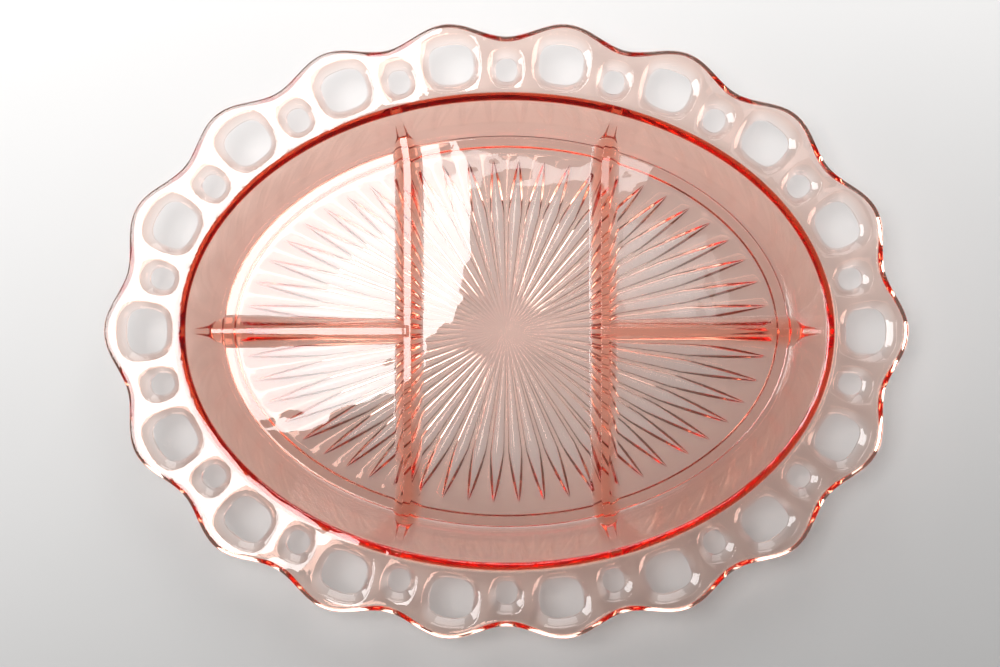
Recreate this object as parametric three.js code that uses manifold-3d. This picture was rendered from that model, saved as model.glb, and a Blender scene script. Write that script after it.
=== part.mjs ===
// A pressed pink glass serving dish: a shallow oval well with five compartments, a rayed base,
// a foot ring and a wide scalloped rim pierced all round like lace.
//
// Millimetres, +Z up. The origin is on the table under the middle of the dish, the long side
// lies along X and the short side along Y. The real dish is one pressing of glass; each mesh
// here is one region of it, and neighbouring regions meet face to face.

import * as THREE from "three";
import { mergeVertices } from "three/addons/utils/BufferGeometryUtils.js";
import Module from "manifold-3d";

// ---------------------------------------------------------------- driving dimensions

const RIM_THICKNESS = 4;
const WALL_THICKNESS = 5.2;
const FLOOR_THICKNESS = 4.3;
const CUT_GAP = 0.3; // clearance where one region is cut by another

// The well's upper edge is an ellipse; everything round the dish is offset from it.
const WELL_HALF_LENGTH = 129.8;
const WELL_HALF_WIDTH = 93.5;

const FLOOR_TOP = 5.5; // upper face of the well's floor
const FLOOR_UNDERSIDE = FLOOR_TOP - FLOOR_THICKNESS; // the base is recessed inside the foot
const WALL_RUN = 10.7; // how far the wall comes in between its top and the floor

const RIM_TOP_INNER = 26.5; // rim height at the well's edge
const RIM_TOP_OUTER = 30; // rim height at the tips of the scallops
const LOBES = 18; // scallops, with one large and one small opening each
const OUTLINE_MEAN = 28.9; // the scalloped edge, as an offset from the well's edge
const OUTLINE_STRETCH = 0.3; // the rim is a little wider at the ends than at the sides
const OUTLINE_WAVE = 3;
const SCALLOP_LEAN = 2.5; // how far the scallops between the axes lean towards the ends
const EDGE_ROUND = 0.7; // chamfer that stands for the fire-polished edge
const EDGE_DRAFT = 1.2; // how far the outer edge slopes in towards the underside

const FOOT_INNER = -16.4; // inside of the foot ring, as an offset from the well's edge
const FOOT_BEVEL = 0.8; // run of the bevel between the foot and the recessed base
const FOOT_OUTER = -10.6; // outside of the foot, which stands in from the heel of the wall
const FOOT_STEP = 0.3; // run of the foot's outer side
const HEEL_BOTTOM = 1.1; // height of the underside of the heel
const HEEL_ROUND = 1.2; // size of the chamfer that stands for the heel's round

// The openings of the lace. The opening and the mouth of the bevel above it are squarish
// ovals, given by the offset of their middle and their half sizes along and across the rim.
// `cellHalf` is half the length of rim that belongs to the opening, in `stepsAlong` steps.
const LARGE_OPENING = {
  hole: { offset: 15.8, half: [9.0, 8.0] },
  bevel: { offset: 16.0, half: [11.8, 11.1] },
  squareness: 2.8,
  cellHalf: 13.2,
  stepsAlong: 5,
};
const SMALL_OPENING = {
  hole: { offset: 12.4, half: [4.5, 4.8] },
  bevel: { offset: 13.0, half: [7.3, 7.7] },
  squareness: 2.3,
  stepsAlong: 3,
};
const STEPS_ACROSS = 3; // steps from the well's edge to the scalloped edge
const LACE_OFFSET = 15; // the line along which the openings are evenly spaced
const LIP = 1.2; // thickness of the glass at the edge of each opening

const RAYS = 54; // rays pressed into the underside of the base
const RAY_TIPS = [109.4, 70.7]; // half length and half width of the oval through the tips
const RAY_DEPTH = 1.15;
const RAY_WIDEST = 0.7; // where the rays stop touching, as a share of their length
const RAY_START = 0.1;

const LONG_DIVIDER_X = 40.8; // the two dividers across the dish
const LONG_DIVIDER_CREST = 14;
const SHORT_DIVIDER_CREST = 15; // near the wall; it starts as high as the long dividers
const DIVIDER_BASE = 5.2; // half width at the floor
const DIVIDER_CREST = 1.7; // half width of the crest
const SHORT_DIVIDER_BASE = 6.2; // half width at the floor, near the wall
const LONG_RIB_START = 81; // from here the ends of the long dividers climb the wall
const SHORT_RIB_START = 122.5;
const RIB_SLOPE = 1.5;
const DIVIDER_BEND_START = 62; // beyond this the long dividers lean out to meet the wall
const DIVIDER_BEND = 2.8;
const DIVIDER_BEND_LENGTH = 22;

const PINK_GLASS = 0xe0a392;
const PINK_GLASS_THICK = 0xcf7a5c; // where the glass is deeper, as in the dividers and foot

// ---------------------------------------------------------------- the oval

// Returns a function (turn, offset) -> Vector2 for the points at a distance `offset` outside
// an ellipse. `turn` runs from 0 to 1 at an even pace along the line at `paceOffset`.
function makeOval(halfLength, halfWidth, paceOffset) {
  const samples = 2880;
  const place = (angle, offset) => {
    const normal = new THREE.Vector2(
      halfWidth * Math.cos(angle),
      halfLength * Math.sin(angle),
    ).normalize();
    return new THREE.Vector2(
      halfLength * Math.cos(angle) + offset * normal.x,
      halfWidth * Math.sin(angle) + offset * normal.y,
    );
  };
  const lengths = [0];
  for (let i = 1; i <= samples; i++) {
    const before = place(((i - 1) / samples) * 2 * Math.PI, paceOffset);
    const here = place((i / samples) * 2 * Math.PI, paceOffset);
    lengths.push(lengths[i - 1] + here.distanceTo(before));
  }
  const angleAt = (turn) => {
    const wanted = (turn - Math.floor(turn)) * lengths[samples];
    const next = Math.max(1, lengths.findIndex((length) => length > wanted));
    const part = (wanted - lengths[next - 1]) / (lengths[next] - lengths[next - 1]);
    return ((next - 1 + part) / samples) * 2 * Math.PI;
  };
  const oval = (turn, offset) => place(angleAt(turn), offset);
  oval.perimeter = lengths[samples];
  return oval;
}

const well = makeOval(WELL_HALF_LENGTH, WELL_HALF_WIDTH, LACE_OFFSET);
const rayTips = makeOval(RAY_TIPS[0], RAY_TIPS[1], 0);

function outline(turn) {
  const lean = (SCALLOP_LEAN * Math.sin(4 * Math.PI * turn)) / well.perimeter;
  const wave = OUTLINE_WAVE * Math.cos(2 * Math.PI * LOBES * (turn + lean));
  return OUTLINE_MEAN + OUTLINE_STRETCH * Math.cos(4 * Math.PI * turn) + wave;
}

// ---------------------------------------------------------------- profile of the pressing

const WALL_HEIGHT = RIM_TOP_INNER - FLOOR_TOP;
const WALL_LEAN = WALL_RUN / WALL_HEIGHT;
const WALL_SIDE_SHIFT = WALL_THICKNESS * Math.hypot(1, WALL_LEAN);
const RIM_SLOPE = (RIM_TOP_OUTER - RIM_TOP_INNER) / outline(0);

const wallInside = (z) => -WALL_RUN + (z - FLOOR_TOP) * WALL_LEAN;
const wallOutside = (z) => wallInside(z) + WALL_SIDE_SHIFT;
const rimTop = (offset) => RIM_TOP_INNER + RIM_SLOPE * offset;
const rimBottom = (offset) => rimTop(offset) - RIM_THICKNESS;

// The corner under the rim, where its underside runs into the outside of the wall.
const UNDER_RIM = wallOutside(rimBottom(0)) / (1 - WALL_LEAN * RIM_SLOPE);

// Where the joint face between the wall and the foot ring reaches the outside.
const HEEL_Z = FLOOR_TOP - WALL_THICKNESS * Math.sin(Math.atan(WALL_LEAN));

// ---------------------------------------------------------------- mesh helpers

class MeshBuilder {
  constructor() {
    this.points = [];
    this.faces = [];
  }

  point(place, z) {
    this.points.push(place.x, place.y, z);
    return this.points.length / 3 - 1;
  }

  triangle(a, b, c) {
    this.faces.push(a, b, c);
  }

  quad(a, b, c, d) {
    this.triangle(a, b, c);
    this.triangle(a, c, d);
  }

  // A band of quads between two loops of equal length; the second lies to the left of the
  // first when both are walked forwards, seen from outside the solid.
  band(from, to) {
    from.forEach((index, i) => {
      const next = (i + 1) % from.length;
      this.quad(index, from[next], to[next], to[i]);
    });
  }

  geometry() {
    const made = new THREE.BufferGeometry();
    made.setAttribute("position", new THREE.Float32BufferAttribute(this.points, 3));
    made.setIndex(this.faces);
    return mergeVertices(made, 1e-4);
  }
}

function flatShaded(geometry) {
  const made = geometry.toNonIndexed();
  made.computeVertexNormals();
  return made;
}

const wasm = await Module();
wasm.setup();

function toSolid(geometry) {
  return new wasm.Manifold(
    new wasm.Mesh({
      numProp: 3,
      vertProperties: new Float32Array(geometry.attributes.position.array),
      triVerts: new Uint32Array(geometry.index.array),
    }),
  );
}

function fromSolid(solid) {
  const mesh = solid.getMesh();
  const made = new THREE.BufferGeometry();
  made.setAttribute("position", new THREE.BufferAttribute(mesh.vertProperties, 3));
  made.setIndex(new THREE.BufferAttribute(mesh.triVerts, 1));
  return made;
}

// ---------------------------------------------------------------- stations round the dish

// One lobe is a large cell and a small cell. The regions below share these stations, so
// their joint faces have the same corners.
const PITCH = well.perimeter / LOBES;
SMALL_OPENING.cellHalf = PITCH / 2 - LARGE_OPENING.cellHalf;

function cells() {
  const made = [];
  for (let lobe = 0; lobe < LOBES; lobe++) {
    made.push({ opening: LARGE_OPENING, centre: lobe / LOBES });
    made.push({ opening: SMALL_OPENING, centre: (lobe + 0.5) / LOBES });
  }
  return made;
}

function cellTurns({ opening, centre }) {
  const turns = [];
  for (let i = 0; i <= opening.stepsAlong; i++) {
    const along = opening.cellHalf * ((2 * i) / opening.stepsAlong - 1);
    turns.push(centre + along / well.perimeter);
  }
  return turns;
}

const STATIONS = cells().flatMap((cell) => cellTurns(cell).slice(0, -1));

// A closed ring round the dish whose section is a polygon of [offset, z] points, listed
// anticlockwise with the offset to the right and z up.
function ring(section) {
  const builder = new MeshBuilder();
  const loops = section.map(([offset, z]) =>
    STATIONS.map((turn) => builder.point(well(turn, offset), z)),
  );
  loops.forEach((loop, i) => builder.band(loop, loops[(i + 1) % loops.length]));
  return builder.geometry();
}

// ---------------------------------------------------------------- the lace rim

function superellipse(angle, [halfAlong, halfAcross], squareness) {
  const power = 2 / squareness;
  const cos = Math.cos(angle);
  const sin = Math.sin(angle);
  return [
    halfAlong * Math.sign(cos) * Math.abs(cos) ** power,
    halfAcross * Math.sign(sin) * Math.abs(sin) ** power,
  ];
}

// The outline of one cell as [along, share] points, walked anticlockwise seen from above:
// `along` is the distance from the cell's middle and `share` runs from the well's edge (0)
// to the scalloped edge (1).
function cellBorder({ opening }) {
  const { cellHalf, stepsAlong } = opening;
  const border = [];
  for (let i = 0; i < STEPS_ACROSS; i++) border.push([-cellHalf, i / STEPS_ACROSS]);
  for (let i = 0; i < stepsAlong; i++) {
    border.push([cellHalf * ((2 * i) / stepsAlong - 1), 1]);
  }
  for (let i = STEPS_ACROSS; i > 0; i--) border.push([cellHalf, i / STEPS_ACROSS]);
  for (let i = stepsAlong; i > 0; i--) {
    border.push([cellHalf * ((2 * i) / stepsAlong - 1), 0]);
  }
  return border;
}

function laceRim() {
  const builder = new MeshBuilder();
  const underInset = EDGE_ROUND + EDGE_DRAFT;
  for (const cell of cells()) {
    const { opening, centre } = cell;
    const border = cellBorder(cell);
    const turnAt = (along) => centre + along / well.perimeter;

    // The border loop of the top or bottom face, from its inner edge to its outer edge.
    const borderLoop = (inner, inset, height) =>
      border.map(([along, share]) => {
        const turn = turnAt(along);
        const offset = THREE.MathUtils.lerp(inner, outline(turn) - inset, share);
        return builder.point(well(turn, offset), height(offset));
      });

    // A loop round the opening, with one point facing each point of the border.
    const openingLoop = ({ offset: middle, half }, height) =>
      border.map(([along, share]) => {
        const across = share * outline(turnAt(along)) - middle;
        const angle = Math.atan2(across / half[1], along / half[0]);
        const [x, y] = superellipse(angle, half, opening.squareness);
        return builder.point(well(turnAt(x), middle + y), height(middle + y));
      });

    const loops = [
      borderLoop(0, EDGE_ROUND, rimTop),
      openingLoop(opening.bevel, rimTop),
      openingLoop(opening.hole, (offset) => rimBottom(offset) + LIP),
      openingLoop(opening.hole, rimBottom),
      borderLoop(UNDER_RIM, underInset, rimBottom),
    ];
    for (let i = 0; i + 1 < loops.length; i++) builder.band(loops[i], loops[i + 1]);
  }

  // The rounded outer edge and the joint face on the well's edge.
  const edge = (inset, height) =>
    STATIONS.map((turn) => {
      const offset = outline(turn) - inset;
      return builder.point(well(turn, offset), height(offset));
    });
  const outside = [
    edge(underInset, rimBottom),
    edge(EDGE_DRAFT, (offset) => rimBottom(offset) + EDGE_ROUND),
    edge(0, (offset) => rimTop(offset) - EDGE_ROUND),
    edge(EDGE_ROUND, rimTop),
  ];
  for (let i = 0; i + 1 < outside.length; i++) builder.band(outside[i], outside[i + 1]);
  const inside = (offset, z) => STATIONS.map((turn) => builder.point(well(turn, offset), z));
  builder.band(inside(0, RIM_TOP_INNER), inside(UNDER_RIM, rimBottom(UNDER_RIM)));
  return builder.geometry();
}

// ---------------------------------------------------------------- the well

function wellWall() {
  const middle = (FLOOR_TOP + RIM_TOP_INNER) / 2;
  return ring([
    [wallInside(FLOOR_TOP), FLOOR_TOP],
    [wallOutside(HEEL_Z), HEEL_Z],
    [wallOutside(middle), middle],
    [UNDER_RIM, rimBottom(UNDER_RIM)],
    [0, RIM_TOP_INNER],
    [wallInside(middle), middle],
  ]);
}

function footRing() {
  return ring([
    [FOOT_INNER, FLOOR_TOP],
    [FOOT_INNER, FLOOR_UNDERSIDE],
    [FOOT_INNER + FOOT_BEVEL, 0],
    [FOOT_OUTER - FOOT_STEP, 0],
    [FOOT_OUTER, HEEL_BOTTOM],
    [wallOutside(HEEL_BOTTOM) - HEEL_ROUND, HEEL_BOTTOM],
    [wallOutside(HEEL_BOTTOM + HEEL_ROUND), HEEL_BOTTOM + HEEL_ROUND],
    [wallOutside(HEEL_Z), HEEL_Z],
    [wallInside(FLOOR_TOP), FLOOR_TOP],
  ]);
}

// The floor: flat above, with a sunburst of spear-shaped rays pressed into its underside.
function wellFloor() {
  const builder = new MeshBuilder();
  const rim = (z) => STATIONS.map((turn) => builder.point(well(turn, FOOT_INNER), z));
  const top = rim(FLOOR_TOP);
  const bottom = rim(FLOOR_UNDERSIDE);
  builder.band(bottom, top);

  const middle = builder.point(new THREE.Vector2(0, 0), FLOOR_TOP);
  top.forEach((index, i) => builder.triangle(middle, index, top[(i + 1) % top.length]));

  // Each ray is a groove: a sunken line from near the middle to the tip, with a shallow
  // side on either hand. The ridges between the rays lie halfway between two tips.
  const hub = builder.point(new THREE.Vector2(0, 0), FLOOR_UNDERSIDE);
  const line = (half, share, depth) => {
    const place = rayTips(half / RAYS, 0).multiplyScalar(share);
    return builder.point(place, FLOOR_UNDERSIDE + depth);
  };
  const land = [];
  for (let ray = 0; ray < RAYS; ray++) {
    const tip = line(ray, 1, 0);
    const deepest = line(ray, RAY_WIDEST, RAY_DEPTH);
    const start = line(ray, RAY_START, RAY_DEPTH / 3);
    const [ridgeStart, ridgeEnd] = [RAY_START, RAY_WIDEST].map((share) =>
      line(ray - 0.5, share, 0),
    );
    const [nextStart, nextEnd] = [RAY_START, RAY_WIDEST].map((share) =>
      line(ray + 0.5, share, 0),
    );
    builder.triangle(hub, start, ridgeStart);
    builder.triangle(hub, nextStart, start);
    builder.quad(ridgeStart, start, deepest, ridgeEnd);
    builder.quad(start, nextStart, nextEnd, deepest);
    builder.triangle(ridgeEnd, deepest, tip);
    builder.triangle(deepest, nextEnd, tip);
    land.push(tip, nextEnd);
  }

  // The flat land between the tips of the rays and the foot ring.
  const flat = (index) =>
    new THREE.Vector2(builder.points[3 * index], builder.points[3 * index + 1]);
  const corners = [...bottom, ...land];
  const pieces = THREE.ShapeUtils.triangulateShape(bottom.map(flat), [land.map(flat)]);
  for (const [a, b, c] of pieces) builder.triangle(corners[a], corners[c], corners[b]);
  return builder.geometry();
}

// ---------------------------------------------------------------- the dividers

// One side of a divider's section as [half width, height] points from the floor up: a small
// fillet, a drafted side and a rounded crest.
function dividerSide(baseHalf, crestHalf, height) {
  const draft = baseHalf - crestHalf;
  return [
    [baseHalf, 0],
    [crestHalf + 0.74 * draft, 0.1 * height],
    [crestHalf + 0.1 * draft, 0.84 * height],
    [0.85 * crestHalf, 0.95 * height],
    [0.4 * crestHalf, height],
  ];
}

// A bar that follows a list of stations {x, y, heading, crest, base} along the floor.
function divider(stations, grow = 0) {
  const builder = new MeshBuilder();
  const sections = stations.map(({ x, y, heading, crest, base }) => {
    const side = dividerSide(base + grow, DIVIDER_CREST + grow, crest + grow - FLOOR_TOP);
    const whole = [[0, 0], ...side, ...side.map(([half, z]) => [-half, z]).reverse()];
    return whole.map(([half, z]) => {
      const place = new THREE.Vector2(x - half * Math.sin(heading), y + half * Math.cos(heading));
      return builder.point(place, FLOOR_TOP + z);
    });
  });
  for (let i = 0; i + 1 < sections.length; i++) builder.band(sections[i], sections[i + 1]);
  const cap = (loop, forwards) => {
    for (let i = 1; i + 1 < loop.length; i++) {
      if (forwards) builder.triangle(loop[0], loop[i], loop[i + 1]);
      else builder.triangle(loop[0], loop[i + 1], loop[i]);
    }
  };
  cap(sections[0], false);
  cap(sections.at(-1), true);
  return toSolid(builder.geometry());
}

// The free space inside the well, clear of the wall by the cut gap.
function wellSpace() {
  const builder = new MeshBuilder();
  const clearance = CUT_GAP * Math.hypot(1, WALL_LEAN);
  const loop = (z) =>
    STATIONS.map((turn) => builder.point(well(turn, wallInside(z) - clearance), z));
  const bottom = loop(FLOOR_TOP - 1);
  const top = loop(RIM_TOP_INNER);
  builder.band(bottom, top);
  const middle = new THREE.Vector2(0, 0);
  const below = builder.point(middle, FLOOR_TOP - 1);
  const above = builder.point(middle, RIM_TOP_INNER);
  bottom.forEach((index, i) => {
    const next = (i + 1) % bottom.length;
    builder.triangle(below, bottom[next], index);
    builder.triangle(above, top[i], top[next]);
  });
  return toSolid(builder.geometry());
}

function longDividerStations(side) {
  const station = (y) => {
    const beyond = Math.max(0, Math.abs(y) - DIVIDER_BEND_START) / DIVIDER_BEND_LENGTH;
    const climb = RIB_SLOPE * Math.max(0, Math.abs(y) - LONG_RIB_START);
    return {
      x: side * (LONG_DIVIDER_X + DIVIDER_BEND * beyond ** 2),
      y,
      heading: Math.PI / 2,
      crest: LONG_DIVIDER_CREST + climb,
      base: DIVIDER_BASE,
    };
  };
  const ends = [DIVIDER_BEND_START, 72, LONG_RIB_START, 89];
  return [...ends.map((y) => -y).reverse(), ...ends].map(station);
}

function shortDividerStations(side) {
  const climb = RIB_SLOPE * (WELL_HALF_LENGTH - SHORT_RIB_START);
  return [
    { x: LONG_DIVIDER_X, crest: LONG_DIVIDER_CREST, base: DIVIDER_BASE },
    { x: SHORT_RIB_START, crest: SHORT_DIVIDER_CREST, base: SHORT_DIVIDER_BASE },
    { x: WELL_HALF_LENGTH, crest: SHORT_DIVIDER_CREST + climb, base: SHORT_DIVIDER_BASE },
  ].map((station) => {
    return { ...station, x: side * station.x, y: 0, heading: side > 0 ? 0 : Math.PI };
  });
}

function longDivider(side) {
  return fromSolid(divider(longDividerStations(side)).intersect(wellSpace()));
}

function shortDivider(side) {
  const bar = divider(shortDividerStations(side)).intersect(wellSpace());
  return fromSolid(bar.subtract(divider(longDividerStations(side), CUT_GAP)));
}

// ---------------------------------------------------------------- the dish

const dish = new THREE.Group();

function region(name, geometry, color = PINK_GLASS) {
  const material = new THREE.MeshStandardMaterial({ color, roughness: 0.05, metalness: 0 });
  const mesh = new THREE.Mesh(flatShaded(geometry), material);
  mesh.name = name;
  dish.add(mesh);
}

region("lace_rim", laceRim());
region("well_wall", wellWall());
region("well_floor", wellFloor());
region("foot_ring", footRing(), PINK_GLASS_THICK);
region("long_divider_left", longDivider(-1), PINK_GLASS_THICK);
region("long_divider_right", longDivider(1), PINK_GLASS_THICK);
region("short_divider_left", shortDivider(-1), PINK_GLASS_THICK);
region("short_divider_right", shortDivider(1), PINK_GLASS_THICK);

export default dish;
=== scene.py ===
"""Looks for the pressed pink glass dish: one seamless body of glass built round the CAD frame.

The dish is one pressing, so a single closed mesh stands for all the CAD regions. It is made in
millimetres, in the CAD model's frame and with its main dimensions, and turned into metres when
the Blender mesh is made. The edges and the foot's side are a little fuller than in the CAD model,
and the rays are longer and almost twice as deep. Points are placed by `turn` (0 to 1 round the
dish, anticlockwise from +X) and `offset` (distance outside the well's upper edge).
"""

import math

import bpy
import numpy as np
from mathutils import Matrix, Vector
from mathutils.geometry import delaunay_2d_cdt


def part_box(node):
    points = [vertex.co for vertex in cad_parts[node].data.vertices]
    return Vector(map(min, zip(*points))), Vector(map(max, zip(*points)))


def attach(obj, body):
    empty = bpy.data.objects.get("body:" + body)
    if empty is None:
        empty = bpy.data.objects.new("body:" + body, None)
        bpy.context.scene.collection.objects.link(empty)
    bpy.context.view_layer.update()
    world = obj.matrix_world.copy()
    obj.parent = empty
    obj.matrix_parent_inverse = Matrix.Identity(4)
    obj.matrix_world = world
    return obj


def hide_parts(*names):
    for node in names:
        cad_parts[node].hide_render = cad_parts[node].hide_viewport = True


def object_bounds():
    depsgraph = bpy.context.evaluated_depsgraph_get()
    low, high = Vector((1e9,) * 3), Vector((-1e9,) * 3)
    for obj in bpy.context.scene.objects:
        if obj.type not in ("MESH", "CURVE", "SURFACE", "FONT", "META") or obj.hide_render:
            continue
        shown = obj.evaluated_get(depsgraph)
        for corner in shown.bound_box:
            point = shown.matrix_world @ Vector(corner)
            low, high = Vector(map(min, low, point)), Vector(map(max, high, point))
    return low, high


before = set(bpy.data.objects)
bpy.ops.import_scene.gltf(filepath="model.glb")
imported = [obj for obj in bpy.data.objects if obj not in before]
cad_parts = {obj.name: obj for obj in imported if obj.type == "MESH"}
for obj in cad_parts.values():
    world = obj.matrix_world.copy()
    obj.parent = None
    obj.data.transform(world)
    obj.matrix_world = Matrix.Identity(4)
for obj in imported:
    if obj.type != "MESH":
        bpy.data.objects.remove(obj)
cad_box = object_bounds()

# ---------------------------------------------------------------- sizes

MM = 0.001


def lowest(node):
    """The lowest corner of a CAD node, in millimetres."""
    return np.array(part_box(node)[0]) / MM


def highest(node):
    """The highest corner of a CAD node, in millimetres."""
    return np.array(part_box(node)[1]) / MM


RIM_THICKNESS = 4.0
WALL_THICKNESS = 5.2
FLOOR_TOP = highest("well_floor")[2]
FLOOR_UNDERSIDE = lowest("well_floor")[2]

WELL_HALF_LENGTH = 129.8
WELL_HALF_WIDTH = 93.5
WALL_RUN = 10.7  # how far the wall comes in between its top and the floor
RIM_TOP_INNER = highest("well_wall")[2]
RIM_RISE = 3.5  # from the well's edge to the tips of the scallops
DROOP = 0.22  # how far the rim's top falls away at the well's edge
DROOP_WIDTH = 3.2

LOBES = 18
OUTLINE_MEAN = 28.9
OUTLINE_STRETCH = 0.3
OUTLINE_WAVE = 3.0
SCALLOP_LEAN = 2.5
LACE_OFFSET = 15.0  # the line along which the openings are evenly spaced
LARGE_CELL_HALF = 13.2  # half the length of rim that belongs to a large opening

FOOT_INNER = -16.4
FOOT_BEVEL = 0.8
FOOT_OUTER = -10.6  # the foot is a low ridge that stands in from the heel of the wall
FOOT_STEP = 0.45  # how far its outer side slopes in
HEEL_HEIGHT = 1.1
HEEL_ROUND = 2.0
FOOT_CONTACT = -13.3  # the foot is slightly crowned and touches the table here
FOOT_CROWN = 0.013  # how fast it lifts off beyond that, per millimetre squared

RAYS = 54
RAY_TIPS = (110.9, 72.2)
RAY_DEPTH = 2.1
RAY_FULLNESS = 2.5  # the grooves have a broad bottom and steep sides
HUB = 0.2  # the rays get shallower within this share of their length
HUB_FADE = 0.3
RAY_WIDEST = 0.7  # where the rays stop touching, as a share of their length
RAY_HALF_WIDTH = 0.48  # as a share of the pitch from ray to ray
RAY_TIP_HALF_WIDTH = 0.01

LONG_BASE = 5.2  # half width of a long divider at the floor
DIVIDER_X = lowest("long_divider_right")[0] + LONG_BASE  # the long dividers' centre line
LONG_CREST = 14.0
SHORT_CREST = 15.0  # near the wall; it starts as high as the long dividers
LONG_RIB_END = -2.7  # offsets up to which the dividers' ends climb the wall
SHORT_RIB_END = -1.5
RIB_SLOPE = 1.4
DIVIDER_BEND_START = 62.0
DIVIDER_BEND = 2.8
DIVIDER_BEND_LENGTH = 22.0

# ---------------------------------------------------------------- how finely it is meshed

LARGE_STEPS = 18  # stations round the rim in a large cell
SMALL_STEPS = 12
STEPS_ACROSS = 9  # points across the rim along the side of a cell
RAY_STEPS = 10  # stations in each ray; RAYS * RAY_STEPS equals the number of stations


# ---------------------------------------------------------------- the oval


class Oval:
    """Places points by turn and offset round an ellipse, evenly paced at one offset."""

    def __init__(self, half_length, half_width, pace_offset=0.0):
        self.half_length = half_length
        self.half_width = half_width
        self.angles = np.linspace(0, 2 * np.pi, 7201)
        places = self.place(self.angles, pace_offset)
        steps = np.linalg.norm(np.diff(places, axis=0), axis=1)
        self.lengths = np.concatenate([[0.0], np.cumsum(steps)])
        self.perimeter = self.lengths[-1]

    def place(self, angle, offset):
        normal_x = self.half_width * np.cos(angle)
        normal_y = self.half_length * np.sin(angle)
        length = np.hypot(normal_x, normal_y)
        x = self.half_length * np.cos(angle) + offset * normal_x / length
        y = self.half_width * np.sin(angle) + offset * normal_y / length
        return np.stack([x, y], axis=-1)

    def __call__(self, turn, offset):
        wanted = np.mod(turn, 1.0) * self.perimeter
        return self.place(np.interp(wanted, self.lengths, self.angles), offset)

    def offset_of(self, x, y):
        """The signed distance of points outside the ellipse, by Newton's method."""
        a, b = self.half_length, self.half_width
        angle = np.arctan2(a * y, b * x)
        for _ in range(8):
            cos, sin = np.cos(angle), np.sin(angle)
            slope = (a * cos - x) * -a * sin + (b * sin - y) * b * cos
            curve = (a * sin) ** 2 + (b * cos) ** 2
            curve = curve - a * cos * (a * cos - x) - b * sin * (b * sin - y)
            angle = angle - np.clip(slope / np.maximum(curve, 1.0), -0.2, 0.2)
        normal_x, normal_y = b * np.cos(angle), a * np.sin(angle)
        length = np.hypot(normal_x, normal_y)
        away_x = (x - a * np.cos(angle)) * normal_x
        away_y = (y - b * np.sin(angle)) * normal_y
        return (away_x + away_y) / length


well = Oval(WELL_HALF_LENGTH, WELL_HALF_WIDTH, LACE_OFFSET)
ray_tips = Oval(*RAY_TIPS)


def outline(turn):
    """The scalloped edge, as an offset."""
    lean = SCALLOP_LEAN * np.sin(4 * np.pi * turn) / well.perimeter
    wave = OUTLINE_WAVE * np.cos(2 * np.pi * LOBES * (turn + lean))
    return OUTLINE_MEAN + OUTLINE_STRETCH * np.cos(4 * np.pi * turn) + wave


# ---------------------------------------------------------------- profile of the pressing

WALL_LEAN = WALL_RUN / (RIM_TOP_INNER - FLOOR_TOP)
WALL_SIDE_SHIFT = WALL_THICKNESS * math.hypot(1, WALL_LEAN)
RIM_SLOPE = RIM_RISE / (OUTLINE_MEAN + OUTLINE_STRETCH + OUTLINE_WAVE)


def wall_outside(z):
    return -WALL_RUN + (z - FLOOR_TOP) * WALL_LEAN + WALL_SIDE_SHIFT


def rim_top(offset):
    return RIM_TOP_INNER + RIM_SLOPE * offset


def droop(offset):
    """How much the rim's top falls away where it comes to the well's edge."""
    return DROOP * np.clip(1 - offset / DROOP_WIDTH, 0, 2) ** 2


def rim_bottom(offset):
    return rim_top(offset) - RIM_THICKNESS


UNDER_RIM = wall_outside(rim_bottom(0)) / (1 - WALL_LEAN * RIM_SLOPE)


def smooth_max(a, b, width):
    """The higher of two heights, blended where they differ by less than `width`."""
    near = np.maximum(width - np.abs(a - b), 0) / width
    return np.maximum(a, b) + near * near * width / 4


def smooth_min(a, b, width):
    return -smooth_max(-a, -b, width)


def fillet(before, corner, after, radius, steps):
    """Points along the arc that rounds a corner. Each is an array of [..., 2] places."""
    before, corner, after = (np.asarray(p, float) for p in (before, corner, after))

    def unit(vector):
        return vector / np.linalg.norm(vector, axis=-1, keepdims=True)

    towards_before, towards_after = unit(before - corner), unit(after - corner)
    cos = np.clip((towards_before * towards_after).sum(-1, keepdims=True), -1, 1)
    half = np.arccos(cos) / 2
    reach = radius / np.tan(half)
    centre = corner + unit(towards_before + towards_after) * radius / np.sin(half)
    sweep = np.pi - 2 * half
    start = corner + towards_before * reach - centre
    end = corner + towards_after * reach - centre
    points = []
    for share in np.linspace(0, 1, steps + 1):
        weights = np.sin((1 - share) * sweep), np.sin(share * sweep)
        points.append(centre + (weights[0] * start + weights[1] * end) / np.sin(sweep))
    return points


# ---------------------------------------------------------------- the inside of the well

FLOOR_FILLET = 3.5  # height over which the floor turns into the wall
SHOULDER_ROUND = 0.8
BASE_FILLET = 1.4  # at the foot of the dividers
CREST_ROUND = 0.5
RIB_BLEND = 0.6
WALL_JOIN = 0.8  # where the dividers meet the wall
CREST_HALF = 1.65  # half widths of the dividers' crests
SHORT_CREST_HALF = 0.9  # at the wall
SHORT_BASE_INNER = 4.6  # half widths of a short divider at the floor
SHORT_BASE_OUTER = 6.4
WELL_BELOW = 20  # puts a short divider out of sight inside the long ones
BLEND_HEIGHT = 8  # height of a divider over which the wall's fillet gets tighter


def ripple(x, y):
    """The faint unevenness of a pressed surface."""
    height = 0.045 * np.sin(0.145 * x + 0.06 * y + 0.4) * np.cos(0.12 * y - 0.05 * x)
    height = height + 0.022 * np.sin(0.26 * x - 0.19 * y + 1.3) * np.cos(0.17 * y + 0.08 * x)
    height = height + 0.010 * np.cos(0.47 * y + 0.31 * x + 2.1) * np.sin(0.38 * x - 0.22 * y)
    return height


def wall_height(offset):
    """Height of the wall's inner face."""
    return FLOOR_TOP + (offset + WALL_RUN) / WALL_LEAN


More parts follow.
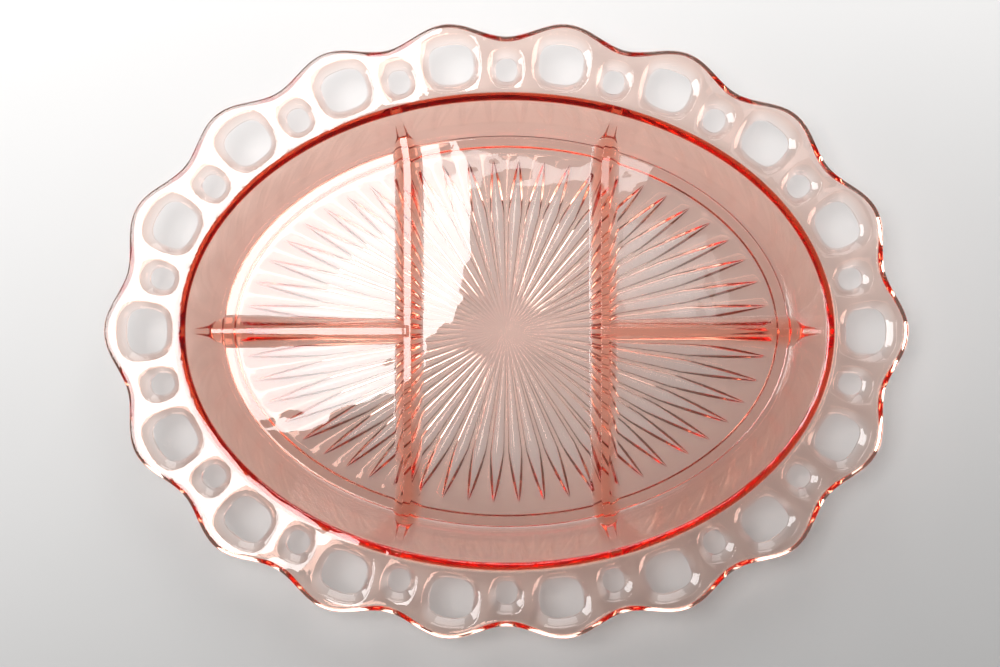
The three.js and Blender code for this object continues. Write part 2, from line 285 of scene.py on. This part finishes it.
def ridge(across, base_half, crest_half, crest, offset, rib_end):
    """Height of a drafted ridge whose end climbs the wall as a fading rib."""
    rib = wall_height(rib_end) + (offset - rib_end) * RIB_SLOPE
    crest = smooth_max(crest, rib, RIB_BLEND)
    steepness = (crest - FLOOR_TOP) / (base_half - crest_half)
    side = FLOOR_TOP + (base_half - np.abs(across)) * steepness
    return smooth_min(side, crest, CREST_ROUND)


def long_centre(y):
    """How far out the centre line of a long divider lies: its ends bend outwards."""
    beyond = np.maximum(np.abs(y) - DIVIDER_BEND_START, 0) / DIVIDER_BEND_LENGTH
    return DIVIDER_X + DIVIDER_BEND * beyond**2


def long_ridge(x, y, offset):
    across = np.abs(x) - long_centre(y)
    return ridge(across, LONG_BASE, CREST_HALF, LONG_CREST, offset, LONG_RIB_END)


def short_ridge(x, y, offset):
    out = (np.abs(x) - DIVIDER_X) / (WELL_HALF_LENGTH - DIVIDER_X)
    share = np.clip(out, 0, 1)
    base_half = SHORT_BASE_INNER + (SHORT_BASE_OUTER - SHORT_BASE_INNER) * share
    crest = LONG_CREST + (SHORT_CREST - LONG_CREST) * share
    crest_half = CREST_HALF + (SHORT_CREST_HALF - CREST_HALF) * share**3
    height = ridge(y, base_half, crest_half, crest, offset, SHORT_RIB_END)
    return np.where(out < 0, FLOOR_TOP - WELL_BELOW, height)


def inside_height(x, y):
    """Height of the glass seen from above, anywhere inside the rim's openings."""
    offset = well.offset_of(x, y)
    wall = wall_height(offset)
    ridges = smooth_max(long_ridge(x, y, offset), short_ridge(x, y, offset), BASE_FILLET)
    floor = smooth_max(np.full_like(x, FLOOR_TOP), ridges, BASE_FILLET)
    tighter = np.clip((floor - FLOOR_TOP) / BLEND_HEIGHT, 0, 1)
    blend = FLOOR_FILLET + (WALL_JOIN - FLOOR_FILLET) * tighter
    height = smooth_max(floor, wall, blend)
    height = smooth_min(height, rim_top(offset) - droop(offset), SHOULDER_ROUND)
    return height + ripple(x, y)


def inside_normals(x, y):
    step = 0.02
    slope_x = (inside_height(x + step, y) - inside_height(x - step, y)) / (2 * step)
    slope_y = (inside_height(x, y + step) - inside_height(x, y - step)) / (2 * step)
    normals = np.stack([-slope_x, -slope_y, np.ones_like(slope_x)], axis=-1)
    return normals / np.linalg.norm(normals, axis=-1, keepdims=True)


# ---------------------------------------------------------------- collecting the surface


class Skin:
    """The surface as it is put together: points, their normals where known, and faces."""

    def __init__(self):
        self.points = []
        self.normals = []
        self.faces = []
        self.count = 0

    def add(self, places, heights, normals=None):
        """Adds points and returns their indices."""
        places = np.asarray(places, float).reshape(-1, 2)
        heights = np.broadcast_to(np.asarray(heights, float).reshape(-1), len(places))
        self.points.append(np.column_stack([places, heights]))
        self.normals.append(np.zeros((len(places), 3)) if normals is None else normals)
        first = self.count
        self.count += len(places)
        return np.arange(first, self.count)

    def band(self, outer, inner):
        """Quads between two closed rows, facing up if `inner` lies left of `outer`."""
        next_outer, next_inner = np.roll(outer, -1), np.roll(inner, -1)
        quads = np.column_stack([outer, next_outer, next_inner, inner])
        self.faces.extend(quads.tolist())


skin = Skin()


def cells():
    """(centre, half length, steps, large) of each stretch of rim, in order round the dish."""
    small_half = well.perimeter / LOBES / 2 - LARGE_CELL_HALF
    for lobe in range(LOBES):
        yield lobe / LOBES, LARGE_CELL_HALF, LARGE_STEPS, True
        yield (lobe + 0.5) / LOBES, small_half, SMALL_STEPS, False


def station_turns():
    turns = []
    for centre, half, steps, _ in cells():
        along = half * (2 * np.arange(steps) / steps - 1)
        turns.append(centre + along / well.perimeter)
    return np.concatenate(turns)


STATIONS = station_turns()


def loop(offset, height):
    """A ring of points at every station."""
    offset = np.broadcast_to(offset, STATIONS.shape)
    return skin.add(well(STATIONS, offset), np.broadcast_to(height, STATIONS.shape))


# ---------------------------------------------------------------- the lace rim

SHOULDER = 0.9  # the rim proper starts this far outside the well's edge
UNDER_RIM_ROUND = 2.0
UNDER_FILLET = fillet(
    (UNDER_RIM + 3, rim_bottom(UNDER_RIM + 3)),
    (UNDER_RIM, rim_bottom(UNDER_RIM)),
    (wall_outside(5.0), 5.0),
    UNDER_RIM_ROUND,
    6,
)
UNDER_BORDER = UNDER_FILLET[0][0]

EDGE_TOP_ROUND = 0.6
EDGE_BOTTOM_ROUND = 0.9
EDGE_DRAFT = 1.45  # how far the outer edge slopes in below, on average
EDGE_DRAFT_WAVE = 0.45  # less on the scallops and more between them
LIP = 1.2  # thickness of glass at the edge of an opening

# Middle offset and half sizes (along, across) of the openings at the underside, and of the
# wider mouths of their bevels at the top.
LARGE = {"hole": (15.8, (9.0, 8.0)), "mouth": (16.05, (11.8, 11.1)), "squareness": 2.8}
SMALL = {"hole": (12.4, (4.5, 4.8)), "mouth": (13.0, (7.3, 7.7)), "squareness": 2.3}


def superellipse(angle, half, squareness):
    power = 2 / squareness
    cos, sin = np.cos(angle), np.sin(angle)
    along = half[0] * np.sign(cos) * np.abs(cos) ** power
    across = half[1] * np.sign(sin) * np.abs(sin) ** power
    return np.stack([along, across], axis=-1)


def edge_profile(turn):
    """Rows of (offset, height above the underside) round the outer edge, from top to bottom."""
    phase = 2 * np.pi * LOBES * turn
    draft = EDGE_DRAFT - EDGE_DRAFT_WAVE * np.cos(phase)
    rim = outline(turn)
    zero = np.zeros_like(rim)
    top_in = np.stack([rim - 3, zero + RIM_THICKNESS], axis=-1)
    top_out = np.stack([rim, zero + RIM_THICKNESS], axis=-1)
    bottom_out = np.stack([rim - draft, zero], axis=-1)
    bottom_in = np.stack([rim - draft - 3, zero], axis=-1)
    upper = fillet(top_in, top_out, bottom_out, EDGE_TOP_ROUND, 4)
    lower = fillet(top_out, bottom_out, bottom_in, EDGE_BOTTOM_ROUND, 4)
    return upper + [(upper[-1] + lower[0]) / 2] + lower


def lip_profile():
    """(share of the way from hole to mouth, height above the underside), from top to bottom."""
    width = 3.0
    mouth = fillet((width + 2, RIM_THICKNESS), (width, RIM_THICKNESS), (0, LIP), 0.45, 2)
    edge = fillet((width, RIM_THICKNESS), (0, LIP), (0, 0), 0.35, 2)
    under = fillet((0, LIP), (0, 0), (1, 0), 0.4, 2)
    middle = [edge[0] + (mouth[-1] - edge[0]) * share for share in (0.67, 0.33)]
    return [(d / width, height) for d, height in mouth + middle + edge + under]


def rim_cell(centre, half_length, steps, opening):
    """One stretch of rim with its opening, from the top border through the hole to below."""
    along_edge = half_length * (2 * np.arange(steps) / steps - 1)
    across_edge = np.arange(STEPS_ACROSS) / STEPS_ACROSS
    along = np.concatenate(
        [
            np.full(STEPS_ACROSS, -half_length),
            along_edge,
            np.full(STEPS_ACROSS, half_length),
            -along_edge,
        ]
    )
    share = np.concatenate(
        [across_edge, np.ones(steps), 1 - across_edge, np.zeros(steps)]
    )
    turns = centre + along / well.perimeter
    profile = edge_profile(turns)

    def border(inner, outer):
        return np.stack([along, inner + (outer - inner) * share], axis=-1)

    def ring(shape):
        middle, half = opening[shape]
        across = share * outline(turns) - middle
        angle = np.arctan2(across / half[1], along / half[0])
        return superellipse(angle, half, opening["squareness"]) + [0, middle]

    def place(local, height):
        turn = centre + local[:, 0] / well.perimeter
        places = well(turn, local[:, 1])
        lift = ripple(places[:, 0], places[:, 1]) - droop(local[:, 1])
        return skin.add(places, rim_bottom(local[:, 1]) + height + lift * height / RIM_THICKNESS)

    top_border = border(SHOULDER, profile[0][:, 0])
    bottom_border = border(UNDER_BORDER, profile[-1][:, 0])
    hole, mouth = ring("hole"), ring("mouth")
    shares = lip_profile()
    start = hole + (mouth - hole) * shares[0][0]
    end = hole + (mouth - hole) * shares[-1][0]
    rows = [place(top_border + (start - top_border) * t, RIM_THICKNESS) for t in (0, 0.3, 0.65)]
    rows += [place(hole + (mouth - hole) * t, height) for t, height in shares]
    rows += [place(end + (bottom_border - end) * t, 0.0) for t in (0.35, 0.7, 1)]
    for outer, inner in zip(rows, rows[1:]):
        skin.band(outer, inner)


def lace_rim():
    for centre, half_length, steps, large in cells():
        rim_cell(centre, half_length, steps, LARGE if large else SMALL)
    rows = []
    for row in edge_profile(STATIONS):
        offset, height = row[:, 0], row[:, 1]
        places = well(STATIONS, offset)
        lift = ripple(places[:, 0], places[:, 1]) * height / RIM_THICKNESS
        rows.append(loop(offset, rim_bottom(offset) + height + lift))
    for upper, lower in zip(rows, rows[1:]):
        skin.band(lower, upper)


# ---------------------------------------------------------------- the well from above

MESH_EDGE = -1.7  # inside this offset the well is meshed freely, outside it in rings
EDGE_GAP = 0.35  # free points stay this far inside the last ring
FLOOR_GRID = 3.0
FLOOR_GRID_STAGGER = 0.75
FLOOR_GRID_EDGE = -14.2  # the floor's grid ends at this offset, where the wall's rings begin
COARSE_STEP = 1.6  # between points along a divider, over the floor
FINE_STEP = 0.6  # and where it climbs the wall, and where two dividers meet
JOIN_HALF = 7.4  # half the square in which two dividers meet
RINGS_CLEAR = 6.7  # how near the rings and the grid come to a long divider's centre line
GRID_CLEAR = 7.6
SHORT_CLEAR = 7.3  # and to a short one's


def shoulder_rings():
    """Rings from the rim over the rounded shoulder to the top of the wall."""
    offsets = [SHOULDER, 0.65, 0.45, 0.28, 0.14, 0.0, -0.12, -0.26, -0.45, -0.8, -1.2, MESH_EDGE]
    rows = []
    for offset in offsets:
        places = well(STATIONS, offset)
        x, y = places[:, 0], places[:, 1]
        rows.append(skin.add(places, inside_height(x, y), inside_normals(x, y)))
    for outer, inner in zip(rows, rows[1:]):
        skin.band(outer, inner)
    return rows[-1]


def spread(reach):
    """Distances across a divider: close together where its section turns."""
    marks = [0, 0.7, 1.15, 1.4, 1.6, 1.8, 2.05, 2.5, 3.0, 3.5, 4.0, 4.4, 4.8, 5.2, 5.7, 6.3, 7.0]
    marks = np.array([m for m in marks if m <= reach])
    return np.concatenate([-marks[:0:-1], marks])


def well_points():
    """Points for the free mesh of the well, laid out along the wall and the dividers."""
    wall_offsets = np.concatenate([np.arange(-2.4, -8.5, -1.0), np.arange(-8.7, -13.7, -0.5)])
    turns, offsets = np.meshgrid(STATIONS, wall_offsets)
    rings = well(turns.ravel(), offsets.ravel())

    along_long = np.concatenate([np.arange(0, 70, COARSE_STEP), np.arange(70, 96, FINE_STEP)])
    along_long = np.concatenate([-along_long[:0:-1], along_long])
    y, across = np.meshgrid(along_long, spread(6.4))
    long_right = np.column_stack([(long_centre(y) + across).ravel(), y.ravel()])

    coarse = np.arange(DIVIDER_X, 105, COARSE_STEP)
    along_short = np.concatenate([coarse, np.arange(105, 129, FINE_STEP)])
    x, across = np.meshgrid(along_short, spread(7.0))
    short_right = np.column_stack([x.ravel(), across.ravel()])

    join = np.arange(-7.2, 7.3, FINE_STEP)
    x, y = np.meshgrid(DIVIDER_X + join, join)
    join_right = np.column_stack([x.ravel(), y.ravel()])

    x, y = np.meshgrid(np.arange(-118.5, 119, FLOOR_GRID), np.arange(-82.5, 83, FLOOR_GRID))
    shift = FLOOR_GRID_STAGGER * np.sign(np.sin(y * np.pi / 3 + 0.5))
    floor = np.column_stack([(x + shift).ravel(), y.ravel()])

    def from_long(p):
        return np.abs(np.abs(p[:, 0]) - long_centre(p[:, 1]))

    def from_join(p):
        return np.maximum(np.abs(np.abs(p[:, 0]) - DIVIDER_X), np.abs(p[:, 1]))

    def beside_short(p):
        return (np.abs(p[:, 0]) > DIVIDER_X) & (np.abs(p[:, 1]) < SHORT_CLEAR)

    rings_clear = (from_long(rings) > RINGS_CLEAR) & ~beside_short(rings)
    grid_clear = (from_long(floor) > GRID_CLEAR) & ~beside_short(floor)
    on_floor = well.offset_of(floor[:, 0], floor[:, 1]) < FLOOR_GRID_EDGE
    kept = [rings[rings_clear], floor[grid_clear & on_floor]]
    long_right = long_right[from_join(long_right) > JOIN_HALF]
    short_right = short_right[from_join(short_right) > JOIN_HALF]
    for side in (-1, 1):
        for part in (long_right, short_right, join_right):
            kept.append(part * [side, 1])
    points = np.concatenate(kept)
    return points[well.offset_of(points[:, 0], points[:, 1]) < MESH_EDGE - EDGE_GAP]


def well_inside():
    """The wall, floor and dividers as one surface, inside the last shoulder ring."""
    edge = shoulder_rings()
    border = well(STATIONS, MESH_EDGE)
    free = well_points()
    coords = [Vector(p) for p in np.concatenate([border, free])]
    count = len(border)
    edges = [(i, (i + 1) % count) for i in range(count)]
    out = delaunay_2d_cdt(coords, edges, [], 1, 1e-6, True)
    places = np.array([tuple(v) for v in out[0]])
    x, y = places[:, 0], places[:, 1]
    indices = skin.add(places, inside_height(x, y), inside_normals(x, y))
    for new, origins in zip(indices, out[3]):
        shared = [i for i in origins if i < count]
        if shared:
            skin.points[-1][new - indices[0]] = skin_point(edge[shared[0]])
    for face in out[2]:
        a, b, c = (places[i] for i in face)
        turns_left = (b - a)[0] * (c - a)[1] - (b - a)[1] * (c - a)[0] > 0
        skin.faces.append([int(indices[i]) for i in (face if turns_left else face[::-1])])


def skin_point(index):
    """A point that is already in the skin."""
    for block in skin.points:
        if index < len(block):
            return block[index]
        index -= len(block)
    raise IndexError(index)


# ---------------------------------------------------------------- the well from below


def foot_lift(offset, z):
    """The crown of the foot, which fades out above it."""
    return FOOT_CROWN * (offset - FOOT_CONTACT) ** 2 * np.clip(1 - z / 3, 0, 1)


def outside_profile():
    """(offset, height) from under the rim, down the wall and round the foot to the base."""
    wall_top = (UNDER_RIM, rim_bottom(UNDER_RIM))
    heel = (wall_outside(HEEL_HEIGHT), HEEL_HEIGHT)
    ledge = (FOOT_OUTER, HEEL_HEIGHT)
    foot = (FOOT_OUTER - FOOT_STEP, 0)
    toe = (FOOT_INNER + FOOT_BEVEL, 0)
    recess = (FOOT_INNER, FLOOR_UNDERSIDE)
    middle = (FOOT_INNER - 1, FLOOR_UNDERSIDE)
    heel_round = fillet(wall_top, heel, ledge, HEEL_ROUND, 7)
    ledge_round = fillet(heel, ledge, foot, 0.3, 3)
    foot_round = fillet(ledge, foot, toe, 0.3, 3)
    toe_round = fillet(foot, toe, recess, 0.3, 3)
    recess_round = fillet(toe, recess, middle, 0.3, 3)

    def between(a, b, steps):
        return [a + (b - a) * (i + 1) / (steps + 1) for i in range(steps)]

    points = list(UNDER_FILLET)
    points += between(UNDER_FILLET[-1], heel_round[0], 4) + heel_round
    points += between(heel_round[-1], ledge_round[0], 2) + ledge_round
    points += between(ledge_round[-1], foot_round[0], 1) + foot_round
    points += between(foot_round[-1], toe_round[0], 3) + toe_round
    points += between(toe_round[-1], recess_round[0], 1) + recess_round
    return [(offset, z + foot_lift(offset, z)) for offset, z in points]


def ray_phases(spread_half):
    """Stations across one ray, as shares of the pitch: all but one are inside the ray."""
    inside = spread_half * (2 * np.arange(RAY_STEPS - 1) / (RAY_STEPS - 2) - 1)
    return np.concatenate([inside, [0.5]])


def ray_row(share):
    """One ring of the sunburst at a share of the rays' length: places and groove depths."""
    taper = np.clip((share - RAY_WIDEST) / (1 - RAY_WIDEST), 0, 1)
    half = RAY_HALF_WIDTH * (1 - taper) + RAY_TIP_HALF_WIDTH * taper
    deepest = RAY_DEPTH * min(share / RAY_WIDEST, 1) * (1 - taper**5)
    deepest = deepest * min(share / HUB, 1) ** HUB_FADE
    phases = ray_phases(half)
    depths = deepest * np.clip(1 - np.abs(phases / half) ** RAY_FULLNESS, 0, 1)
    turns = (np.arange(RAYS)[:, None] + phases[None, :]).ravel() / RAYS
    return ray_tips(turns, 0.0) * share, np.tile(depths, RAYS)


def well_outside():
    rows = [loop(offset, z) for offset, z in outside_profile()]
    first = LARGE_STEPS // 2 - (RAY_STEPS - 2) // 2  # the station where ray 0 begins
    last = np.roll(rows[-1], -first)
    last_places = np.roll(well(STATIONS, outside_profile()[-1][0]), -first, axis=0)
    tips, _ = ray_row(1.0)
    land = skin.add(last_places + (tips - last_places) * 0.5, FLOOR_UNDERSIDE)
    for outer, inner in zip(rows, rows[1:]):
        skin.band(inner, outer)
    skin.band(land, last)
    before = land
    shares = [1.0, 0.975, 0.945, 0.91, 0.875, 0.84, 0.805, 0.77, 0.735, 0.7]
    shares += [0.63, 0.56, 0.49, 0.42, 0.35, 0.28, 0.22, 0.17, 0.125, 0.085, 0.055, 0.03]
    for share in shares:
        places, depths = ray_row(share)
        row = skin.add(places, FLOOR_UNDERSIDE + depths)
        skin.band(row, before)
        before = row
    hub = skin.add([[0, 0]], FLOOR_UNDERSIDE)[0]
    skin.faces.extend([[int(hub), int(b), int(a)] for a, b in zip(before, np.roll(before, -1))])


# ---------------------------------------------------------------- the mesh


def make_dish():
    lace_rim()
    well_inside()
    well_outside()
    points = np.concatenate(skin.points) * MM
    normals = np.concatenate(skin.normals)
    keys = np.round(points / 2e-7).astype(np.int64)
    _, first, same = np.unique(keys, axis=0, return_index=True, return_inverse=True)
    same = same.reshape(-1)
    faces = []
    for face in skin.faces:
        corners = [int(same[i]) for i in face]
        corners = [c for i, c in enumerate(corners) if c != corners[i - 1]]
        if len(corners) > 2:
            faces.append(corners)
    mesh = bpy.data.meshes.new("pressed_dish")
    mesh.from_pydata(points[first].tolist(), [], faces)
    mesh.validate()
    mesh.polygons.foreach_set("use_smooth", np.ones(len(mesh.polygons), bool))
    known = np.zeros((len(first), 3))
    has_normal = np.linalg.norm(normals, axis=1) > 0
    known[same[has_normal]] = normals[has_normal]
    mesh.normals_split_custom_set_from_vertices([tuple(n) for n in known])
    dish = bpy.data.objects.new("pressed_dish", mesh)
    bpy.context.scene.collection.objects.link(dish)
    return dish


# ---------------------------------------------------------------- materials


def new_material(name):
    material = bpy.data.materials.new(name)
    material.use_nodes = True
    tree = material.node_tree
    shader = tree.nodes["Principled BSDF"]
    return material, tree, shader


def node(tree, kind, **settings):
    made = tree.nodes.new(kind)
    for name, value in settings.items():
        setattr(made, name, value)
    return made


def pink_glass():
    """Clear pink glass: the colour is in its depth, so thick parts turn deep orange."""
    material, tree, shader = new_material("pink_glass")
    shader.inputs["Base Color"].default_value = (1, 1, 1, 1)
    shader.inputs["Transmission Weight"].default_value = 1.0
    shader.inputs["IOR"].default_value = 1.51
    shader.inputs["Roughness"].default_value = 0.0
    depth = node(tree, "ShaderNodeVolumeAbsorption")
    depth.inputs["Color"].default_value = (0.964, 0.4545, 0.236, 1)
    depth.inputs["Density"].default_value = 110.0
    tree.links.new(depth.outputs["Volume"], tree.nodes["Material Output"].inputs["Volume"])

    coordinates = node(tree, "ShaderNodeTexCoord")
    swirl = node(tree, "ShaderNodeTexNoise")
    swirl.inputs["Scale"].default_value = 90.0
    swirl.inputs["Detail"].default_value = 2.0
    bump = node(tree, "ShaderNodeBump")
    bump.inputs["Strength"].default_value = 0.25
    bump.inputs["Distance"].default_value = 0.00006
    tree.links.new(coordinates.outputs["Object"], swirl.inputs["Vector"])
    tree.links.new(swirl.outputs["Fac"], bump.inputs["Height"])
    tree.links.new(bump.outputs["Normal"], shader.inputs["Normal"])
    return material


def faint_mottle(tree, coordinates, shader):
    """Two almost equal greys in soft patches."""
    mottle = node(tree, "ShaderNodeTexNoise")
    mottle.inputs["Scale"].default_value = 9.0
    tone = node(tree, "ShaderNodeMix", data_type="RGBA")
    tone.inputs["A"].default_value = (0.415, 0.411, 0.406, 1)
    tone.inputs["B"].default_value = (0.435, 0.431, 0.428, 1)
    tree.links.new(coordinates.outputs["Object"], mottle.inputs["Vector"])
    tree.links.new(mottle.outputs["Fac"], tone.inputs["Factor"])
    tree.links.new(tone.outputs["Result"], shader.inputs["Base Color"])


def painted_light_by_depth(tree, coordinates):
    """Painted light: a glow that grows from the front of the stage to behind the dish, then fades
    out, standing in for light reaching the table from behind.
    """
    axes = node(tree, "ShaderNodeSeparateXYZ")
    reach = node(tree, "ShaderNodeMapRange")
    reach.inputs["From Min"].default_value = -0.2
    reach.inputs["From Max"].default_value = 1.3
    glow = node(tree, "ShaderNodeValToRGB")
    ramp = glow.color_ramp.elements
    for place, level in [(0.333, 0.58), (0.6, 0.15)]:
        ramp.new(place).color = (level, level, level, 1)
    ramp[-1].color = (0, 0, 0, 1)
    tree.links.new(coordinates.outputs["Object"], axes.inputs["Vector"])
    tree.links.new(axes.outputs["Y"], reach.inputs["Value"])
    tree.links.new(reach.outputs["Result"], glow.inputs["Fac"])
    return glow.outputs["Color"]


def painted_pool_of_light_under_dish(tree, coordinates):
    """A painted pool of light: a soft round spot under the middle of the dish. It only brightens
    the dish's centre.
    """
    scaled = node(tree, "ShaderNodeVectorMath", operation="SCALE")
    scaled.inputs["Scale"].default_value = 9.0
    spot = node(tree, "ShaderNodeTexGradient", gradient_type="SPHERICAL")
    tree.links.new(coordinates.outputs["Object"], scaled.inputs[0])
    tree.links.new(scaled.outputs["Vector"], spot.inputs["Vector"])
    return spot.outputs["Fac"]


def pale_table_with_painted_light():
    """A pale matt floor with painted light: it gives off light of its own, a glow growing towards
    the back and a painted pool of light under the dish, which lightens the shade in and around
    the dish.
    """
    material, tree, shader = new_material("pale_table_with_painted_light")
    shader.inputs["Roughness"].default_value = 0.9
    shader.inputs["Specular IOR Level"].default_value = 0.1
    # colour of the painted light that the table gives off
    shader.inputs["Emission Color"].default_value = (1, 0.99, 0.985, 1)
    coordinates = node(tree, "ShaderNodeTexCoord")
    faint_mottle(tree, coordinates, shader)
    # painted light: emission strength is the pool under the dish times 0.16 plus the glow towards
    # the back
    painted_light_strength = node(tree, "ShaderNodeMath", operation="MULTIPLY_ADD")
    painted_light_strength.inputs[1].default_value = 0.16
    tree.links.new(painted_pool_of_light_under_dish(tree, coordinates), painted_light_strength.inputs[0])
    tree.links.new(painted_light_by_depth(tree, coordinates), painted_light_strength.inputs[2])
    tree.links.new(painted_light_strength.outputs["Value"], shader.inputs["Emission Strength"])
    return material


# ---------------------------------------------------------------- stage, light and camera


def make_table():
    mesh = bpy.data.meshes.new("table")
    corners = [(-3, -3, 0), (3, -3, 0), (3, 3, 0), (-3, 3, 0)]
    mesh.from_pydata(corners, [], [(0, 1, 2, 3)])
    mesh.materials.append(pale_table_with_painted_light())
    table = bpy.data.objects.new("table", mesh)
    table.location.z = cad_box[0][2] - 0.00002
    bpy.context.scene.collection.objects.link(table)


def softbox(name, place, target, size, power, shape="RECTANGLE"):
    light = bpy.data.lights.new(name, "AREA")
    light.shape = shape
    light.size, light.size_y = size
    light.energy = power
    lamp = bpy.data.objects.new(name, light)
    lamp.location = place
    aim = Vector(target) - Vector(place)
    lamp.rotation_euler = aim.to_track_quat("-Z", "Y").to_euler()
    bpy.context.scene.collection.objects.link(lamp)


def make_lights():
    world = bpy.data.worlds.new("studio")
    world.use_nodes = True
    background = world.node_tree.nodes["Background"]
    background.inputs["Color"].default_value = (1, 1, 1, 1)
    background.inputs["Strength"].default_value = 0.16
    bpy.context.scene.world = world
    softbox("round_softbox", (-0.240, 0.105, 0.95), (-0.240, 0.105, 0), (0.4, 0.4), 5.2, "DISK")
    softbox("back_softbox", (0.1, 0.95, 0.75), (0, 0.1, 0), (0.9, 0.6), 8)
    softbox("left_softbox", (-1.0, 0.1, 0.23), (0, 0, 0), (0.9, 0.4), 12)
    softbox("low_back_softbox", (0, 1.0, 0.2), (0, 0, 0), (0.9, 0.35), 3)
    softbox("strip_light", (-0.03, 0.168, 0.95), (-0.03, 0.168, 0), (0.36, 0.024), 0.16)
    softbox("small_softbox", (0.17, 0.065, 0.95), (0.17, 0.065, 0), (0.1, 0.09), 0.055)


def make_camera():
    """Straight above the dish, with its long side across the picture."""
    camera = bpy.data.cameras.new("camera")
    camera.lens = 53.7
    camera.sensor_width = 36
    camera.shift_x = -0.0063
    camera.shift_y = -0.0022
    camera.clip_start = 0.01
    view = bpy.data.objects.new("camera", camera)
    view.location = (0, 0, 0.6295)
    bpy.context.scene.collection.objects.link(view)
    bpy.context.scene.camera = view


def picture_settings():
    """Plain colours as lit, with no film curve."""
    view = bpy.context.scene.view_settings
    view.view_transform = "Standard"
    view.look = "None"


def light_bounces():
    """Enough bounces for light to travel down the wall and along the rim inside the glass."""
    cycles = bpy.context.scene.cycles
    cycles.max_bounces = 32
    cycles.transmission_bounces = 32
    cycles.glossy_bounces = 16
    cycles.caustics_reflective = True
    cycles.caustics_refractive = True


dish = make_dish()
dish.data.materials.append(pink_glass())
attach(dish, "root")
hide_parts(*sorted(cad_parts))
make_table()
make_lights()
make_camera()
picture_settings()
light_bounces()
